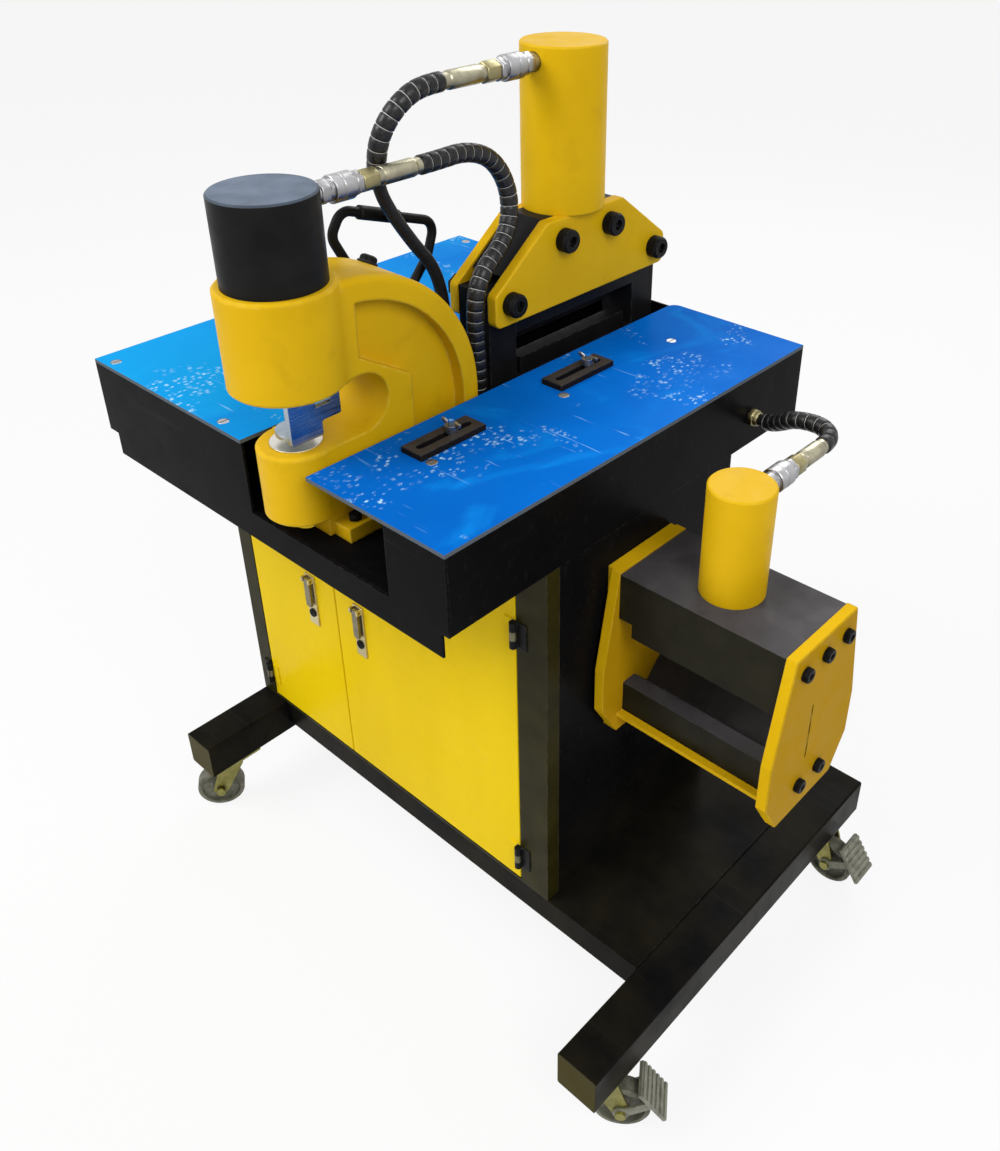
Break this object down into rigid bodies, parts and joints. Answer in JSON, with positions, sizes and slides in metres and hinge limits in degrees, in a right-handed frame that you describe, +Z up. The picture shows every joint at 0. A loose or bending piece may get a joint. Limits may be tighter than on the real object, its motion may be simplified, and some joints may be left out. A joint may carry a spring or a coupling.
{
  "type": "busbar processing machine",
  "caption": "Wheeled cabinet with a hydraulic hole punch, bar cutter and side bender for flat busbars, blue worktops and yellow doors.",
  "frame": {"origin": "on the floor, under the middle of the machine's bounding box without its hoses", "axes": "+X along the doors from left to right, +Y from the doors to the back, +Z up"},
  "size_m": [0.947, 0.704, 1.205],
  "materials": {
    "yellow_casting": "glossy yellow paint on cast and cut steel",
    "yellow_sheet": "smooth yellow sheet-metal paint",
    "black_gloss": "glossy black paint",
    "black_machined": "satin black",
    "black_oxide": "black oxide",
    "blue_film": "steel under scuffed glossy blue film",
    "zinc": "bright zinc plate",
    "chrome_lever": "chrome plate",
    "brass_olive": "yellow zinc plate",
    "hose_rubber": "black rubber",
    "wheel_rubber": "grey rubber",
    "pedal_grey": "grey paint",
    "tool_steel": "ground tool steel",
    "power_unit": "grey paint"
  },
  "bodies": {
    "machine": {"punch_frame": "yellow_casting", "cutter_side_plates": "yellow_casting", "cutter_cylinder": "yellow_casting", "bender_frame": "yellow_casting", "bender_cylinder": "yellow_casting", "legs": "black_gloss", "underframe": "black_gloss", "cabinet_side_walls": "black_gloss", "cabinet_back_wall": "black_gloss", "door_frame": "black_gloss", "table_deck": "black_gloss", "front_apron": "black_gloss", "rear_apron": "black_gloss", "side_aprons": "black_gloss", "punch_cylinder": "black_machined", "cutter_bed": "black_machined", "cutter_head_block": "black_machined", "bender_head_block": "black_machined", "bender_die": "black_machined", "cap_screws": "black_oxide", "door_hinges": "black_oxide", "carry_handle": "black_oxide", "left_panel": "blue_film", "right_panel": "blue_film", "hose_couplers": "zinc", "panel_screws": "zinc", "caster_plates": "zinc", "hose_fittings": "brass_olive", "punch_hose": "hose_rubber", "cutter_hose": "hose_rubber", "bender_hose": "hose_rubber", "hose_guards": "hose_rubber", "punch_stripper": "tool_steel", "punch_die": "tool_steel", "cutter_lower_blade": "tool_steel", "oil_tank": "power_unit", "pump_motor": "power_unit", "manifold": "power_unit"},
    "left_door": {"left_door": "yellow_sheet"},
    "right_door": {"right_door": "yellow_sheet"},
    "left_door_lever": {"left_door_lever": "chrome_lever"},
    "right_door_lever": {"right_door_lever": "chrome_lever"},
    "punch_ram": {"punch_ram": "tool_steel"},
    "cutter_ram": {"cutter_ram": "black_machined", "cutter_upper_blade": "tool_steel"},
    "bender_ram": {"bender_ram": "tool_steel"},
    "front_stop_bar": {"front_stop_bar": "black_machined"},
    "rear_stop_bar": {"rear_stop_bar": "black_machined"},
    "front_wing_nut": {"front_wing_nut": "zinc"},
    "rear_wing_nut": {"rear_wing_nut": "zinc"},
    "front_left_yoke": {"front_left_yoke": "zinc"},
    "front_left_wheel": {"front_left_wheel": "wheel_rubber"},
    "front_right_yoke": {"front_right_yoke": "zinc"},
    "front_right_wheel": {"front_right_wheel": "wheel_rubber"},
    "rear_left_yoke": {"rear_left_yoke": "zinc"},
    "rear_left_wheel": {"rear_left_wheel": "wheel_rubber"},
    "rear_right_yoke": {"rear_right_yoke": "zinc"},
    "rear_right_wheel": {"rear_right_wheel": "wheel_rubber"},
    "front_right_brake_pedal": {"front_right_brake_pedal": "pedal_grey"},
    "rear_right_brake_pedal": {"rear_right_brake_pedal": "pedal_grey"}
  },
  "joints": [
    {"name": "left_door_hinge", "type": "hinge", "parent": "machine", "child": "left_door", "pos_m": [-0.4145, -0.174, 0.4115], "axis": [0, 0, -1], "range_deg": [0, 110]},
    {"name": "left_lever_hinge", "type": "hinge", "parent": "left_door", "child": "left_door_lever", "pos_m": [-0.2665, -0.176, 0.4809], "axis": [-1, 0, 0], "range_deg": [0, 35]},
    {"name": "right_door_hinge", "type": "hinge", "parent": "machine", "child": "right_door", "pos_m": [0.1525, -0.174, 0.4115], "axis": [0, 0, 1], "range_deg": [0, 110]},
    {"name": "right_lever_hinge", "type": "hinge", "parent": "right_door", "child": "right_door_lever", "pos_m": [-0.1565, -0.176, 0.4809], "axis": [-1, 0, 0], "range_deg": [0, 35]},
    {"name": "punch_stroke", "type": "slide", "parent": "machine", "child": "punch_ram", "axis": [0, 0, -1], "range_m": [0, 0.024]},
    {"name": "cutter_stroke", "type": "slide", "parent": "machine", "child": "cutter_ram", "axis": [0, 0, -1], "range_m": [0, 0.021]},
    {"name": "bender_stroke", "type": "slide", "parent": "machine", "child": "bender_ram", "axis": [0, 0, -1], "range_m": [0, 0.078]},
    {"name": "front_stop_slide", "type": "slide", "parent": "machine", "child": "front_stop_bar", "axis": [0, 1, 0], "range_m": [-0.0245, 0.0485]},
    {"name": "front_wing_nut_turn", "type": "hinge", "parent": "machine", "child": "front_wing_nut", "pos_m": [0.0345, -0.148, 0.828], "axis": [0, 0, 1], "continuous": true},
    {"name": "rear_stop_slide", "type": "slide", "parent": "machine", "child": "rear_stop_bar", "axis": [0, 1, 0], "range_m": [-0.0175, 0.0555]},
    {"name": "rear_wing_nut_turn", "type": "hinge", "parent": "machine", "child": "rear_wing_nut", "pos_m": [0.0345, 0.095, 0.828], "axis": [0, 0, 1], "continuous": true},
    {"name": "front_left_swivel", "type": "hinge", "parent": "machine", "child": "front_left_yoke", "pos_m": [-0.4175, -0.269, 0.104], "axis": [0, 0, 1], "continuous": true},
    {"name": "front_left_roll", "type": "hinge", "parent": "front_left_yoke", "child": "front_left_wheel", "pos_m": [-0.43184, -0.28948, 0.0375], "axis": [-0.8192, 0.5736, 0], "continuous": true},
    {"name": "front_right_swivel", "type": "hinge", "parent": "machine", "child": "front_right_yoke", "pos_m": [0.3865, -0.269, 0.104], "axis": [0, 0, 1], "continuous": true},
    {"name": "front_right_roll", "type": "hinge", "parent": "front_right_yoke", "child": "front_right_wheel", "pos_m": [0.40698, -0.25466, 0.0375], "axis": [0.5736, -0.8192, 0], "continuous": true},
    {"name": "front_right_brake", "type": "hinge", "parent": "front_right_yoke", "child": "front_right_brake_pedal", "pos_m": [0.40698, -0.25466, 0.0375], "axis": [-0.5736, 0.8192, 0], "range_deg": [0, 12]},
    {"name": "rear_left_swivel", "type": "hinge", "parent": "machine", "child": "rear_left_yoke", "pos_m": [-0.4175, 0.262, 0.104], "axis": [0, 0, 1], "continuous": true},
    {"name": "rear_left_roll", "type": "hinge", "parent": "rear_left_yoke", "child": "rear_left_wheel", "pos_m": [-0.43, 0.28365, 0.0375], "axis": [0.866, 0.5, 0], "continuous": true},
    {"name": "rear_right_swivel", "type": "hinge", "parent": "machine", "child": "rear_right_yoke", "pos_m": [0.3865, 0.262, 0.104], "axis": [0, 0, 1], "continuous": true},
    {"name": "rear_right_roll", "type": "hinge", "parent": "rear_right_yoke", "child": "rear_right_wheel", "pos_m": [0.4115, 0.262, 0.0375], "axis": [0, -1, 0], "continuous": true},
    {"name": "rear_right_brake", "type": "hinge", "parent": "rear_right_yoke", "child": "rear_right_brake_pedal", "pos_m": [0.4115, 0.262, 0.0375], "axis": [0, 1, 0], "range_deg": [0, 12]}
  ]
}
